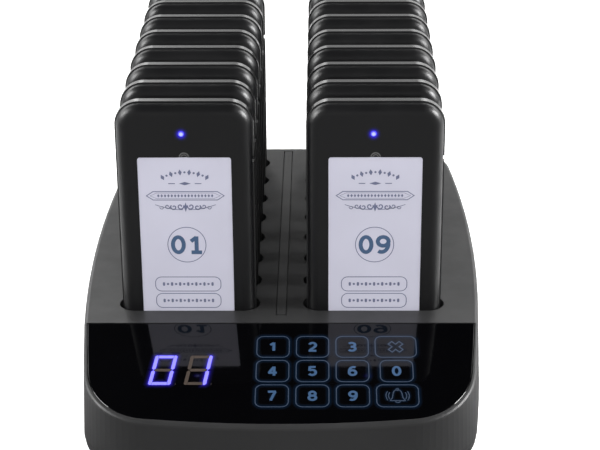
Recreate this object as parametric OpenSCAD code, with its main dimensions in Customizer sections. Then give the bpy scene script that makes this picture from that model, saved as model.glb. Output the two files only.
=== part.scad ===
// Guest pager system for a shop counter: a charging base with a sloping touch
// panel and a two-digit display, and sixteen pagers that stand in its slots in
// two columns of eight. Each pager lifts straight up out of its slot.
// Millimetres. Z = 0 is the counter under the rubber feet, -Y is the side that
// the operator faces, and X = Y = 0 is the middle of the base.

/* [Base] */
// Deck between the slots and the side of the base at its widest
side_margin = 16.3; // [15.5:0.1:30]
// Distance from the middle of the last slots to the back of the base
back_margin = 19.4; // [18:0.1:40]
// Radius of the two bowed sides, seen from above
side_bow_r = 785; // [700:5:2000]
// How far behind the middle the sides are widest
side_bow_y = 8.8; // [0:0.2:15]
// Radius of the bowed front, seen from above
front_bow_r = 500; // [400:10:1200]
// Radius of the bowed back, seen from above
back_bow_r = 1200; // [600:50:2400]
// Corner radius at the front, seen from above
front_corner_r = 26; // [20:1:28]
// Corner radius at the back, seen from above
back_corner_r = 24; // [16:1:26]
// Outward lean of the walls towards the bottom, in degrees
wall_draft = 2.6; // [0.5:0.1:3.5]
// Radius where the walls turn under to the bottom
bottom_r = 10; // [7:0.5:10.5]
// Radius round the rim of the deck and of the slope
rim_r = 1.2; // [0.6:0.1:1.6]
// Wall thickness of both case halves
wall = 2.2; // [1.8:0.1:2.8]
// Height of the joint between the case halves above the counter
joint_h = 13; // [12.8:0.1:15]
// Height that the rubber feet hold the case off the counter
foot_h = 2; // [1.5:0.1:2.4]
// Radius of a rubber foot
foot_r = 7.5; // [5:0.5:8]

/* [Touch panel] */
// Slope of the panel, in degrees
panel_tilt = 18.5; // [16:0.5:21]
// Distance from the front of the base back to the top edge of the panel
panel_run = 49; // [48:0.5:52]
// Thickness of the glossy panel
panel_t = 2; // [1.5:0.1:2.5]
// Width of the case rim round the panel
panel_lip = 1.3; // [1.2:0.1:2.5]
// Distance between two columns of touch keys
key_pitch_x = 14.3; // [13.5:0.1:14.5]
// Distance between two rows of touch keys, down the slope
key_pitch_y = 11.9; // [11:0.1:12]

/* [Slots] */
// Distance from the middle of the base to the middle of a column of pagers
column_x = 34.4; // [34:0.1:35.5]
// Distance between one pager and the next behind it
slot_pitch = 20; // [18.5:0.1:20.2]
// Depth of a slot below the deck
slot_depth = 17; // [12:0.5:17.5]
// Gap between a pager and its slot, front and back
slot_gap = 0.4; // [0.3:0.05:0.8]
// Gap between a pager and each end of its slot
slot_end_gap = 1.4; // [0.8:0.1:1.6]
// Distance from the top edge of the panel to the middle of the front slots
first_slot = 16.2; // [15:0.1:18]

/* [Pagers] */
// Width of a pager, over its rim band
pager_w = 50; // [47:0.5:51]
// Height of a pager
pager_h = 98; // [90:1:110]
// Thickness of a pager
pager_t = 11.8; // [11:0.1:12.4]
// Corner radius of a pager, seen from the front
pager_corner_r = 9; // [7:0.5:11]
// Radius round the edge of a pager's front and back faces
pager_edge_r = 4.1; // [2.5:0.1:4.2]
// Thickness of the flat rim band round the pager
band_t = 2.9; // [2:0.1:3.2]
// How far the rim band stands proud of the two covers
band_proud = 0.5; // [0.2:0.1:0.8]
// Wall thickness of the pager's covers
pager_wall = 1.6; // [1.2:0.1:2]
// Width of the recess for the label card
label_w = 34; // [28:0.5:36]
// Distance from the pager's top edge down to the label's top edge
label_down = 19.9; // [18:0.1:24]
// Height of the label's bottom edge above the pager's bottom edge
label_foot = 8.1; // [7:0.1:12]
// Depth of the recess for the label card
label_t = 0.5; // [0.3:0.1:0.7]
// Distance from the pager's top edge down to the indicator light
lamp_down = 11; // [9:0.5:13]
// Radius of the hole for the indicator light
lamp_r = 1.3; // [0.8:0.1:2]

/* [Hidden] */
$fn = 64;
eps = 0.01;
fit_gap = 0.15;        // round a piece that is dropped into a recess
rest_gap = 0.2;        // under a pager that stands in its slot

PAGERS = 16;
ROWS = PAGERS / 2;
function two_digits(n) = n < 10 ? str("0", n) : str(n);
function pager_name(n, piece) = str("pager_", two_digits(n), "_", piece);
PAGER_PIECES = ["front", "back", "core"];

// the base is as wide and as deep as its two columns of slots need
slot_w = pager_w + 2 * slot_end_gap;
slot_t = pager_t + 2 * slot_gap;
base_w = 2 * (column_x + slot_w / 2 + side_margin);
base_d = panel_run + first_slot + (ROWS - 1) * slot_pitch + back_margin;
crease_y = panel_run - base_d / 2;
first_slot_y = crease_y + first_slot;
last_slot_y = first_slot_y + (ROWS - 1) * slot_pitch;

// the recess in the back, for the power socket and the switch
rear_w = 70;
rear_h = 10;
rear_sill = 1;                   // case left under the recess, over the joint
rear_depth = 4.2;
rear_pad = 3;                    // wall behind the recess
rear_z = joint_h + rear_sill + rear_h / 2;
rear_face = base_d / 2 - rear_depth;
rear_inside = rear_face - rear_pad;
jack_block = 8;

// and it is as high as the socket, the charging boards and the slots over it need
board_t = 1.6;
board_clear = 0.2;               // between the socket and the charging boards
charge_post_h = 0.6;
well_wall = 1.4;
well_floor_t = 1.6;
charge_board_z = rear_z + jack_block / 2 + board_clear;
well_bottom = charge_board_z + board_t + charge_post_h;
slot_floor = well_bottom + well_floor_t;
seat_z = slot_floor + rest_gap;
deck_h = slot_floor + slot_depth;
widest_h = foot_h + bottom_r;

rim_steps = 3;
bottom_steps = 5;

function lean(z) = (z - widest_h) * tan(wall_draft);

// ---- the outline of the base, seen from above ----

function arc(centre, r, from, to, steps) =
    [for (i = [0 : steps]) let (a = from + (to - from) * i / steps) centre + r * [cos(a), sin(a)]];

// the point d1 from c1 and d2 from c2, on the side towards the end (-1 front, 1 back)
function meet(c1, d1, c2, d2, end) =
    let (d = norm(c2 - c1), u = (c2 - c1) / d, a = (d1 * d1 - d2 * d2 + d * d) / (2 * d))
    c1 + a * u + end * sqrt(d1 * d1 - a * a) * [-u.y, u.x];

function bearing(from, to) = atan2(to.y - from.y, to.x - from.x);

// the centres of the arcs that the outline is drawn with, for its +X half
side_c = [base_w / 2 - side_bow_r, side_bow_y];
front_c = [0, front_bow_r - base_d / 2];
back_c = [0, base_d / 2 - back_bow_r];
front_corner_c = meet(side_c, side_bow_r - front_corner_r,
                      front_c, front_bow_r - front_corner_r, -1);
back_corner_c = meet(side_c, side_bow_r - back_corner_r,
                     back_c, back_bow_r - back_corner_r, 1);

function half_outline(inset) =
    let (a1 = bearing(front_c, front_corner_c), a2 = bearing(side_c, front_corner_c),
         a3 = bearing(side_c, back_corner_c), a4 = bearing(back_c, back_corner_c))
    concat(arc(front_c, front_bow_r - inset, -90, a1, 5),
           arc(front_corner_c, front_corner_r - inset, a1, a2, 14),
           arc(side_c, side_bow_r - inset, a2, a3, 14),
           arc(back_corner_c, back_corner_r - inset, a3, a4, 12),
           arc(back_c, back_bow_r - inset, a4, 90, 5));

function outline(inset) =
    let (half = half_outline(inset), last = len(half) - 1)
    concat(half, [for (i = [last : -1 : 0]) [-half[i].x, half[i].y]]);

// half the width of the base at a station along Y, at its widest height
function half_width(y) =
    side_c.x + sqrt(side_bow_r * side_bow_r - (y - side_bow_y) * (y - side_bow_y));

module slice(z, inset)
    translate([0, 0, z])
        linear_extrude(eps)
            polygon(outline(inset));

module column(z0, z1, inset)
    translate([0, 0, z0])
        linear_extrude(z1 - z0)
            polygon(outline(inset));

// everything between the joint and the deck, inside the leaning walls
module leaning_block(inset)
    hull() {
        slice(joint_h, lean(joint_h) + inset);
        slice(deck_h - eps, lean(deck_h) + inset);
    }

// ---- the slope that carries the panel ----

module on_slope()
    translate([0, crease_y, deck_h])
        rotate([panel_tilt, 0, 0])
            children();

// the space under the deck and the slope, each lowered by its own depth
module roof_block(deck_depth, slope_depth)
    intersection() {
        translate([-base_w, -base_d, 0])
            cube([2 * base_w, 2 * base_d, deck_h - deck_depth]);
        on_slope()
            translate([-base_w, -base_d, -base_d - slope_depth])
                cube([2 * base_w, 2 * base_d, base_d]);
    }

// a slab in front of the crease, between two heights over the slope
module slope_slab(z0, z1, back = 0)
    on_slope()
        translate([-base_w, -base_d - back, z0])
            cube([2 * base_w, base_d, z1 - z0]);

slope_drop = (panel_run - panel_lip) * tan(panel_tilt);
panel_inset = lean(deck_h - slope_drop / 2) + panel_lip;
ledge_t = 2;
ledge_depth = panel_t + ledge_t;

// ---- what is behind the panel ----

display_w = 25.4;
display_d = 19;
display_h = 8;
display_x = -35.5;
display_y = -23.7;
spring_r = 3.2;                  // the contact spring under each key
spring_wall = 0.7;
key_x = -2.6;                    // middle of the first column of keys
key_y = -12.2;                   // middle of the first row of keys
last_key_gap = 1.45;             // the last column stands this much further off
key_xs = [for (i = [0 : 3]) key_x + i * key_pitch_x + (i == 3 ? last_key_gap : 0)];
key_ys = [for (j = [0 : 2]) key_y - j * key_pitch_y];
// the window in the ledge takes the display and the springs, and the board's posts stand by it
window_clear = 1.6;
window_w = 2 * (display_w / 2 - display_x + window_clear);
board_post_r = 2.8;
board_post_gap = 0.4;
board_post_in = 3;               // from the board's edges to the posts it hangs on
board_w = window_w + 2 * (board_post_gap + board_post_r + board_post_in);
board_back = key_y + spring_r + 4.5;
board_front = key_ys[2] - spring_r - 2.3;
board_posts = [for (x = [-1, 1]) for (y = [board_back - board_post_in, board_front + board_post_in])
               [x * (board_w / 2 - board_post_in), y]];

// ---- screws, feet, socket and switch ----

screw_r = 1.5;
pilot_r = 1.55;
screw_head_r = 2.8;
screw_head_h = 2;
screw_grip = 5;                  // plastic under a screw's head
screw_l = 16;
screw_hole_r = screw_r + 0.3;
head_hole_r = screw_head_r + 0.3;
boss_r = 3.3;
// one pair of screws by the crease and two pairs between rows of slots
boss_ys = [crease_y - 2, first_slot_y + 2.5 * slot_pitch, first_slot_y + 5.5 * slot_pitch];
bosses = [for (s = [-1, 1]) for (y = boss_ys) [s * (half_width(y) - bottom_r - head_hole_r), y]];
screw_seat = joint_h - screw_grip;

foot_recess = 1;
foot_x = base_w / 2 - bottom_r - foot_r - 7.5;
feet = [for (s = [-1, 1]) for (y = [-base_d / 2 + bottom_r + foot_r + 17,
                                    base_d / 2 - bottom_r - foot_r - 11]) [s * foot_x, y]];

jack_x = -22;
jack_r = 4;
barrel_r = 2.75;
barrel_pin_r = 1.05;
barrel_depth = 9;
switch_x = 20;
switch_w = 13;
switch_h = 7;
switch_d = 12;
bezel_edge = 0.9;
bezel_t = 1.4;

// ---- case ----

module stadium(w, t) {
    square([w - t, t], center = true);
    for (s = [-1, 1])
        translate([s * (w - t) / 2, 0])
            circle(d = t);
}

module at_slots()
    for (x = [-column_x, column_x])
        for (k = [0 : ROWS - 1])
            translate([x, first_slot_y + k * slot_pitch, 0])
                children();

module well_outer()
    translate([0, 0, well_bottom])
        linear_extrude(deck_h - wall / 2 - well_bottom)
            stadium(slot_w + 2 * well_wall, slot_t + 2 * well_wall);

module well_inner()
    translate([0, 0, slot_floor])
        linear_extrude(slot_depth + 1)
            stadium(slot_w, slot_t);

pin_x = 8;                       // charging pins, from the middle of a slot
pin_y = 1.5;
pin_hole_r = 1.5;

module charge_pin_holes()
    for (s = [-1, 1])
        translate([s * pin_x, pin_y, well_bottom - 1])
            cylinder(h = well_floor_t + 2, r = pin_hole_r);

charge_post_r = 2.5;
charge_post_rows = [0, 3, ROWS - 1];

module charge_posts()
    for (x = [-column_x, column_x])
        for (k = charge_post_rows)
            translate([x, first_slot_y + k * slot_pitch, well_bottom - charge_post_h])
                cylinder(h = charge_post_h + eps, r = charge_post_r);

strip_w = 3.3;
strip_gap = 0.35;
strip_t = 1.2;
strip_front = crease_y + 6.6;
strip_back = base_d / 2 - lean(deck_h) - rim_r - 2.8;

module strip_channel()
    translate([-strip_w / 2 - strip_gap, strip_front - strip_gap, deck_h - strip_t])
        cube([strip_w + 2 * strip_gap, strip_back - strip_front + 2 * strip_gap, strip_t + 1]);

// the upper half's outside: leaning walls with a rounded rim under deck and slope
module upper_form()
    hull()
        for (i = [0 : rim_steps])
            let (t = 90 * i / rim_steps, down = rim_r * (1 - cos(t)))
                intersection() {
                    leaning_block(rim_r * (1 - sin(t)));
                    roof_block(down, down);
                }

module upper_cavity()
    intersection() {
        leaning_block(wall);
        roof_block(wall, ledge_depth);
    }

// posts that hang from the roof of the upper half
module hanging_posts()
    intersection() {
        union()
            for (p = bosses)
                translate([p.x, p.y, joint_h])
                    cylinder(h = deck_h, r = boss_r);
        roof_block(wall / 2, ledge_depth / 2);
    }

module board_post_set()
    on_slope()
        for (p = board_posts)
            translate([p.x, p.y, -panel_t - display_h])
                cylinder(h = display_h - ledge_t + 0.5, r = board_post_r);

module rear_pad_block()
    translate([-rear_w / 2 - 2, rear_inside, joint_h])
        cube([rear_w + 4, base_d / 2 - 1.8 - rear_inside, rear_sill + rear_h + 2]);

module rear_cuts() {
    translate([-rear_w / 2, rear_face, rear_z - rear_h / 2])
        cube([rear_w, 2 * rear_depth, rear_h]);
    translate([jack_x, rear_inside - 1, rear_z])
        rotate([-90, 0, 0])
            cylinder(h = rear_pad + 2, r = jack_r + fit_gap);
    translate([switch_x - switch_w / 2 - fit_gap, rear_inside - 1,
               rear_z - switch_h / 2 - fit_gap])
        cube([switch_w + 2 * fit_gap, rear_pad + 2, switch_h + 2 * fit_gap]);
}

module top_case()
    color([0.30, 0.30, 0.31])
        difference() {
            union() {
                difference() {
                    upper_form();
                    upper_cavity();
                }
                at_slots()
                    well_outer();
                charge_posts();
                hanging_posts();
                board_post_set();
                rear_pad_block();
            }
            at_slots() {
                well_inner();
                charge_pin_holes();
            }
            intersection() {
                column(joint_h, deck_h + 1, panel_inset);
                slope_slab(-panel_t, panel_t);
            }
            on_slope()
                translate([-window_w / 2, board_front - 0.5, -ledge_depth - 1])
                    cube([window_w, board_back - board_front - 1, ledge_t + 2]);
            strip_channel();
            for (p = bosses)
                translate([p.x, p.y, joint_h - 1])
                    cylinder(h = screw_l - screw_grip + 2.5, r = pilot_r);
            rear_cuts();
        }

// the lower half's outside: walls that turn under to a flat bottom
module lower_form(inset, top)
    hull() {
        slice(top - eps, lean(top) + inset);
        for (i = [0 : bottom_steps])
            let (t = 90 * i / bottom_steps)
                slice(foot_h + inset + (bottom_r - inset) * (1 - sin(t)),
                      inset + (bottom_r - inset) * (1 - cos(t)));
    }

tongue_h = 2;
tongue_t = 1.1;

module ring(z0, z1, outer_inset, inner_inset)
    difference() {
        column(z0, z1, outer_inset);
        column(z0 - 1, z1 + 1, inner_inset);
    }

// the lip that finds the upper half's walls from inside, on its root in the lower wall
module tongue() {
    outer_inset = lean(joint_h + tongue_h) + wall + fit_gap;
    ring(joint_h - tongue_h, joint_h, wall / 2, outer_inset + tongue_t);
    ring(joint_h - eps, joint_h + tongue_h, outer_inset, outer_inset + tongue_t);
}

module bottom_case()
    color([0.16, 0.16, 0.17])
        difference() {
            union() {
                difference() {
                    lower_form(0, joint_h);
                    lower_form(wall, joint_h + 1);
                }
                difference() {
                    tongue();
                    translate([-rear_w / 2 - 3, rear_inside - 1, joint_h])
                        cube([rear_w + 6, 2 * rear_depth, tongue_h + 1]);
                }
                intersection() {
                    lower_form(0, joint_h);
                    union() {
                        for (p = bosses)
                            translate([p.x, p.y, foot_h])
                                cylinder(h = joint_h - foot_h, r = boss_r + 1);
                        for (p = feet)
                            translate([p.x, p.y, foot_h])
                                cylinder(h = 1.5 * wall, r = foot_r + 1.5);
                    }
                }
            }
            for (p = bosses)
                translate([p.x, p.y, 0]) {
                    cylinder(h = screw_seat, r = head_hole_r);
                    cylinder(h = joint_h + 1, r = screw_hole_r);
                }
            for (p = feet)
                translate([p.x, p.y, 0])
                    cylinder(h = foot_h + foot_recess, r = foot_r + fit_gap);
        }

module touch_panel()
    color([0.02, 0.02, 0.03])
        intersection() {
            column(joint_h, deck_h + 1, panel_inset + fit_gap);
            slope_slab(-panel_t, 0, fit_gap);
        }

module centre_strip()
    color([0.28, 0.28, 0.29])
        translate([-strip_w / 2, strip_front, deck_h - strip_t])
            cube([strip_w, strip_back - strip_front, strip_t]);

// ---- electronics of the base ----

module display_module()
    color([0.10, 0.10, 0.12])
        on_slope()
            translate([display_x - display_w / 2, display_y - display_d / 2, -panel_t - display_h])
                cube([display_w, display_d, display_h]);

module touch_spring()
    difference() {
        cylinder(h = display_h, r = spring_r);
        translate([0, 0, -1])
            cylinder(h = display_h + 2, r = spring_r - spring_wall);
    }

module control_board()
    color([0.07, 0.32, 0.18])
        on_slope()
            translate([0, 0, -panel_t - display_h]) {
                translate([-board_w / 2, board_front, -board_t])
                    cube([board_w, board_back - board_front, board_t]);
                for (x = key_xs)
                    for (y = key_ys)
                        translate([x, y, 0])
                            touch_spring();
                for (p = parts_under)
                    translate([p[0].x, p[0].y, -board_t - p[1].z])
                        cube(p[1]);
                translate([sounder.x, sounder.y, -board_t - sounder_h])
                    cylinder(h = sounder_h, r = sounder_r);
            }

// what hangs under the control board: the radio module, the processor and the sounder
parts_under = [[[-30, -30], [18, 14, 3]], [[6, -28], [12, 12, 1.6]]];
sounder = [36, -24];
sounder_h = 5;
sounder_r = 6;

charge_board_w = 34;
charge_board_end = 4;            // past the middle of the first and of the last slot
charge_pin_r = 1.1;

module charge_boards()
    color([0.07, 0.32, 0.18]) {
        for (x = [-column_x, column_x])
            translate([x - charge_board_w / 2, first_slot_y - charge_board_end, charge_board_z])
                cube([charge_board_w, last_slot_y - first_slot_y + 2 * charge_board_end, board_t]);
        at_slots()
            for (s = [-1, 1])
                translate([s * pin_x, pin_y, charge_board_z + board_t])
                    cylinder(h = charge_post_h + well_floor_t + rest_gap + contact_lift / 2,
                             r = charge_pin_r);
    }

module dc_jack()
    color([0.08, 0.08, 0.08])
        translate([jack_x, rear_face, rear_z])
            rotate([-90, 0, 0]) {
                difference() {
                    union() {
                        translate([0, 0, -barrel_depth - 2])
                            cylinder(h = barrel_depth + 2, r = jack_r);
                        translate([-jack_block / 2, -jack_block / 2, -barrel_depth - 2])
                            cube([jack_block, jack_block, barrel_depth + 2 - rear_pad]);
                    }
                    translate([0, 0, -barrel_depth])
                        cylinder(h = barrel_depth + 1, r = barrel_r);
                }
                translate([0, 0, -barrel_depth - 1])
                    cylinder(h = barrel_depth + 0.5, r = barrel_pin_r);
            }

// ---- power switch, with the rocker's pivot upright behind its bezel ----

rocker_r = 5.2;
rocker_h = 4.8;
rocker_throw = 14;               // whole swing of the rocker, in degrees
rocker_crown = 2.6;              // from the pivot to the rocker's crown line
pivot_depth = 1.6;               // from the bezel's face in to the pivot
pivot_y = rear_face + bezel_t - pivot_depth;
axle_r = 0.8;
axle_end = 0.7;                  // how far the axle reaches past the rocker's sides
axle_gap = 0.06;
rocker_gap = 0.3;
rocker_well = 2.8;               // clear space in front of the pivot, for the rocker's heel

module rocker_space()
    translate([switch_x - rocker_r - rocker_gap, pivot_y - rocker_well,
               rear_z - rocker_h / 2 - rocker_gap])
        cube([2 * (rocker_r + rocker_gap), 2 * rocker_r, rocker_h + 2 * rocker_gap]);

module power_switch()
    color([0.05, 0.05, 0.05])
        difference() {
            union() {
                translate([switch_x - switch_w / 2 - bezel_edge, rear_face,
                           rear_z - switch_h / 2 - bezel_edge])
                    cube([switch_w + 2 * bezel_edge, bezel_t, switch_h + 2 * bezel_edge]);
                translate([switch_x - switch_w / 2, rear_face - switch_d, rear_z - switch_h / 2])
                    cube([switch_w, switch_d + bezel_t / 2, switch_h]);
            }
            rocker_space();
            translate([switch_x, pivot_y, rear_z])
                cylinder(h = rocker_h + 2 * axle_end + 4 * axle_gap, r = axle_r + axle_gap,
                         center = true);
        }

module power_rocker()
    color([0.05, 0.05, 0.05])
        translate([switch_x, pivot_y, rear_z]) {
            reach = 2 * rocker_r;
            rotate([0, 0, rocker_throw / 2])
                intersection() {
                    cylinder(h = rocker_h, r = rocker_r, center = true);
                    translate([0, 0, -rocker_h / 2])
                        linear_extrude(rocker_h)
                            polygon([[-reach, -1],
                                     [reach, -1],
                                     [reach, rocker_crown + reach * tan(rocker_throw / 2)],
                                     [0, rocker_crown],
                                     [-reach, rocker_crown + reach * tan(rocker_throw / 2)]]);
                }
            cylinder(h = rocker_h + 2 * axle_end, r = axle_r, center = true);
        }

module rubber_feet()
    color([0.05, 0.05, 0.05])
        for (p = feet)
            translate([p.x, p.y, 0])
                cylinder(h = foot_h + foot_recess, r = foot_r);

module case_screws()
    color([0.6, 0.6, 0.62])
        for (p = bosses)
            translate([p.x, p.y, screw_seat]) {
                translate([0, 0, -screw_head_h])
                    difference() {
                        cylinder(h = screw_head_h, r = screw_head_r);
                        for (a = [0, 90])
                            rotate([0, 0, a])
                                translate([-1.6, -0.3, -1])
                                    cube([3.2, 0.6, 1.9]);
                    }
                translate([0, 0, -eps])
                    cylinder(h = screw_l, r = screw_r);
            }

// ---- a pager: x across, y through it (front at -y), z up from its bottom edge ----

cover_w = pager_w - 2 * band_proud;
cover_h = pager_h - 2 * band_proud;
cover_corner_r = pager_corner_r - band_proud;
cover_d = (pager_t - band_t) / 2;
label_top = pager_h - label_down;
label_h = label_top - label_foot;
lamp_z = pager_h - lamp_down;
lamp_x = -0.8;                   // the light stands a little left of the middle
nail_notch_r = 2;

module edge_profile(l, d, e) {
    square([l - e, d]);
    square([l, d - e]);
    intersection() {
        translate([l - e, d - e])
            circle(r = e);
        square([l, d]);
    }
}

// a plate with rounded corners, lying on XY, whose upper edge is rounded all round
module pillow(w, h, d, r, e) {
    translate([r - w / 2, r - h / 2, 0])
        cube([w - 2 * r, h - 2 * r, d]);
    for (s = [0, 1])
        mirror([s, 0, 0])
            translate([w / 2 - r, h / 2 - r, 0])
                rotate([90, 0, 0])
                    linear_extrude(h - 2 * r)
                        edge_profile(r, d, e);
    for (s = [0, 1])
        mirror([0, s, 0])
            translate([r - w / 2, h / 2 - r, 0])
                rotate([90, 0, 90])
                    linear_extrude(w - 2 * r)
                        edge_profile(r, d, e);
    for (sx = [0, 1])
        for (sy = [0, 1])
            mirror([sx, 0, 0])
                mirror([0, sy, 0])
                    translate([w / 2 - r, h / 2 - r, 0])
                        rotate_extrude(angle = 90)
                            edge_profile(r, d, e);
}

module rounded_plate(w, h, d, r)
    linear_extrude(d) {
        square([w - 2 * r, h], center = true);
        square([w, h - 2 * r], center = true);
        for (x = [-1, 1])
            for (y = [-1, 1])
                translate([x * (w / 2 - r), y * (h / 2 - r)])
                    circle(r = r);
    }

// stands a plate that was drawn on XY upright, its upper side to the front
module standing()
    translate([0, 0, pager_h / 2])
        rotate([90, 0, 0])
            children();

module cavity(d)
    rounded_plate(cover_w - 2 * pager_wall, cover_h - 2 * pager_wall, d,
                  cover_corner_r - pager_wall);

module pager_front()
    color([0.12, 0.12, 0.13])
        translate([0, -band_t / 2, 0])
            standing()
                difference() {
                    pillow(cover_w, cover_h, cover_d, cover_corner_r, pager_edge_r);
                    translate([0, 0, -1])
                        cavity(cover_d - pager_wall + 1);
                    translate([-label_w / 2, label_top - label_h - pager_h / 2,
                               cover_d - label_t])
                        cube([label_w, label_h, 2 * label_t]);
                    // half-round nail notch over the label
                    translate([0, label_top - pager_h / 2, cover_d - label_t])
                        cylinder(h = 2 * label_t, r = nail_notch_r);
                    translate([lamp_x, lamp_z - pager_h / 2, 0])
                        cylinder(h = cover_d + 1, r = lamp_r);
                }

contact_w = 5;
contact_t = 3;
contact_h = 9;
contact_lift = 0.2;              // the contacts stand this far inside the bottom edge
notch_z = pager_h - 22.2;        // a notch in the band, to prise the covers apart
notch_h = 2.4;
notch_d = 1.1;
pager_post_r = 2;
pager_post_x = 17;
pager_post_z = 12;
pager_posts = [for (x = [-1, 1]) for (z = [pager_post_z, pager_h - pager_post_z])
               [x * pager_post_x, z]];

module pager_back()
    color([0.10, 0.10, 0.11])
        difference() {
            union() {
                difference() {
                    union() {
                        translate([0, band_t / 2, 0])
                            standing()
                                rounded_plate(pager_w, pager_h, band_t, pager_corner_r);
                        translate([0, band_t / 2, 0])
                            standing()
                                mirror([0, 0, 1])
                                    pillow(cover_w, cover_h, cover_d, cover_corner_r,
                                           pager_edge_r);
                    }
                    translate([0, pager_t / 2 - pager_wall, 0])
                        standing()
                            cavity(pager_t);
                }
                for (p = pager_posts)
                    translate([p.x, 0, p[1]])
                        rotate([-90, 0, 0])
                            cylinder(h = pager_t / 2 - pager_wall / 2, r = pager_post_r);
            }
            for (s = [-1, 1])
                translate([s * pin_x - contact_w / 2 - fit_gap, -fit_gap, -1])
                    cube([contact_w + 2 * fit_gap, contact_t + 2 * fit_gap, pager_wall + 3]);
            translate([pager_w / 2 - notch_d, -pager_t, notch_z - notch_h / 2])
                cube([notch_d + 1, 2 * pager_t, notch_h]);
        }

pcb_t = 1;
pcb_gap = 0.6;                   // between the board and the covers' walls
pcb_end = 3;                     // and further in at its two ends
cell = [34, 3.9, 46];            // the pager's flat cell: width, thickness, height
cell_z = 22;
motor_r = 5;
motor_h = 2.7;
motor_x = 10;
motor_top = 16;                  // from the pager's top down to the motor's middle
lens_depth = 0.4;                // the light's face behind the front cover's face

module pager_core()
    color([0.08, 0.35, 0.20]) {
        in = pager_wall + band_proud + pcb_gap;
        translate([-pager_w / 2 + in, -pcb_t, in + pcb_end])
            cube([pager_w - 2 * in, pcb_t, pager_h - 2 * (in + pcb_end)]);
        // the flat cell behind the board
        translate([-cell.x / 2, 0, cell_z])
            cube(cell);
        // the vibrating motor and the light in front of it
        translate([motor_x, -pcb_t, pager_h - motor_top])
            rotate([90, 0, 0])
                cylinder(h = motor_h, r = motor_r);
        translate([lamp_x, -pcb_t, lamp_z])
            rotate([90, 0, 0])
                cylinder(h = pager_t / 2 - pcb_t - lens_depth, r = lamp_r - fit_gap);
        // charging contacts in the bottom edge
        for (s = [-1, 1])
            translate([s * pin_x - contact_w / 2, 0, contact_lift])
                cube([contact_w, contact_t, contact_h]);
    }

// number n stands in the left column up to ROWS and in the right column after it
module in_slot(n)
    translate([n <= ROWS ? -column_x : column_x,
               first_slot_y + ((n - 1) % ROWS) * slot_pitch, seat_z])
        children();

top_case();
bottom_case();
touch_panel();
display_module();
control_board();
charge_boards();
centre_strip();
dc_jack();
power_switch();
power_rocker();
rubber_feet();
case_screws();
for (n = [1 : PAGERS]) {
    in_slot(n) pager_front();
    in_slot(n) pager_back();
    in_slot(n) pager_core();
}
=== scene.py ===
# Guest pager system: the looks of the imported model. Metres, in the CAD's frame:
# Z = 0 is the counter, -Y is the operator's side, X = Y = 0 is the middle of the base.
import math

import bmesh
import bpy
from mathutils import Matrix, Vector


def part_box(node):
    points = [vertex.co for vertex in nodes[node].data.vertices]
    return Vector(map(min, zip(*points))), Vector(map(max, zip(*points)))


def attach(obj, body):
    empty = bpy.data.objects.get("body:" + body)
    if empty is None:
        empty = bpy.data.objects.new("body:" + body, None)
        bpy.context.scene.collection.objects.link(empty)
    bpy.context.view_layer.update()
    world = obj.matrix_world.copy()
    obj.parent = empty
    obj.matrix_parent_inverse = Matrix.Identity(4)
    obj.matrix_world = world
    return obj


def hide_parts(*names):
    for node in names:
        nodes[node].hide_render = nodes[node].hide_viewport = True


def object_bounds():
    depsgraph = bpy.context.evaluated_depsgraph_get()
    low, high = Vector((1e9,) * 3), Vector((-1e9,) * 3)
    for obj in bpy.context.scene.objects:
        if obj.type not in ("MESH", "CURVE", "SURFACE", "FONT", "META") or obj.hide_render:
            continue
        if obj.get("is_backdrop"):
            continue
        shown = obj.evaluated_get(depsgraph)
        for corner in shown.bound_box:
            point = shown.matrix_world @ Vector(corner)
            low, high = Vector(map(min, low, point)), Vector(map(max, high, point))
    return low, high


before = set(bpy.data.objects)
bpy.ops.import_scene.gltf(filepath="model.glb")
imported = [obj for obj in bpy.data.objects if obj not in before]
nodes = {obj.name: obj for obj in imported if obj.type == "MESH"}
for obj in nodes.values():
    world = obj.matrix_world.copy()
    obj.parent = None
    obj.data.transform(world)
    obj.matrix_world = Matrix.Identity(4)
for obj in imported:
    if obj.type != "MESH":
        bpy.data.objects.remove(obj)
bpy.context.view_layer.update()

MM = 0.001                           # sizes are in millimetres, the scene is in metres
PAGERS = 16

# ---- sizes that part.scad also holds, in millimetres and degrees ----

BASE_D = 224.6
DECK_H = 44.0
PANEL_RUN = 49.0
PANEL_TILT = 18.5
CREASE_Y = PANEL_RUN - BASE_D / 2    # where the deck turns down into the slope
KEY_X, KEY_PITCH_X = -2.6, 14.3
KEY_Y, KEY_PITCH_Y = -12.2, 11.9
LAST_KEY_GAP = 1.45                  # the last column stands this much further off
DISPLAY_X, DISPLAY_Y = -35.5, -23.7
COLUMN_X = 34.4                      # the middle of a column of pagers
PAGER_FOOT = 27.2                    # a pager's bottom edge over the counter
BAND_PROUD = 0.5                     # how far a pager's band stands off its covers
LABEL_W, LABEL_H, LABEL_T = 34.0, 70.0, 0.5
LABEL_TOP = 78.1                     # over the pager's bottom edge, as LAMP_Z
NOTCH_R = 2.0
LAMP_X, LAMP_Z, LAMP_R = -0.8, 87.0, 1.3
REAR_Z = 19.0                        # the middle of the socket and of the switch
JACK_X = -22.0
SWITCH_X, PIVOT_Y = 20.0, 107.9
ROCKER_CROWN, ROCKER_THROW = 2.6, 14.0

# ---- sizes that only the scene holds, in millimetres ----

PRINT = 0.02                         # how far print stands off what it is printed on
LAYER = 0.004                        # from one layer of glow to the next
PANEL_BEVEL = 0.45
GLOW_REACH = 3.0                     # how far a pager's light shows on its cover
PIN_REACH = 1.15                     # round the socket's axis, a little more than its pin

# heights over the counter that part one finish from another, in millimetres
PINS_FROM = 24.85                    # of a charging board, only its pins stand higher
CONTACTS_TO = 30.0                   # of a pager's core, only its contacts are lower
POLISH_LOW, POLISH_HIGH = 100.0, 116.0


# ---- nodes ----

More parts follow.
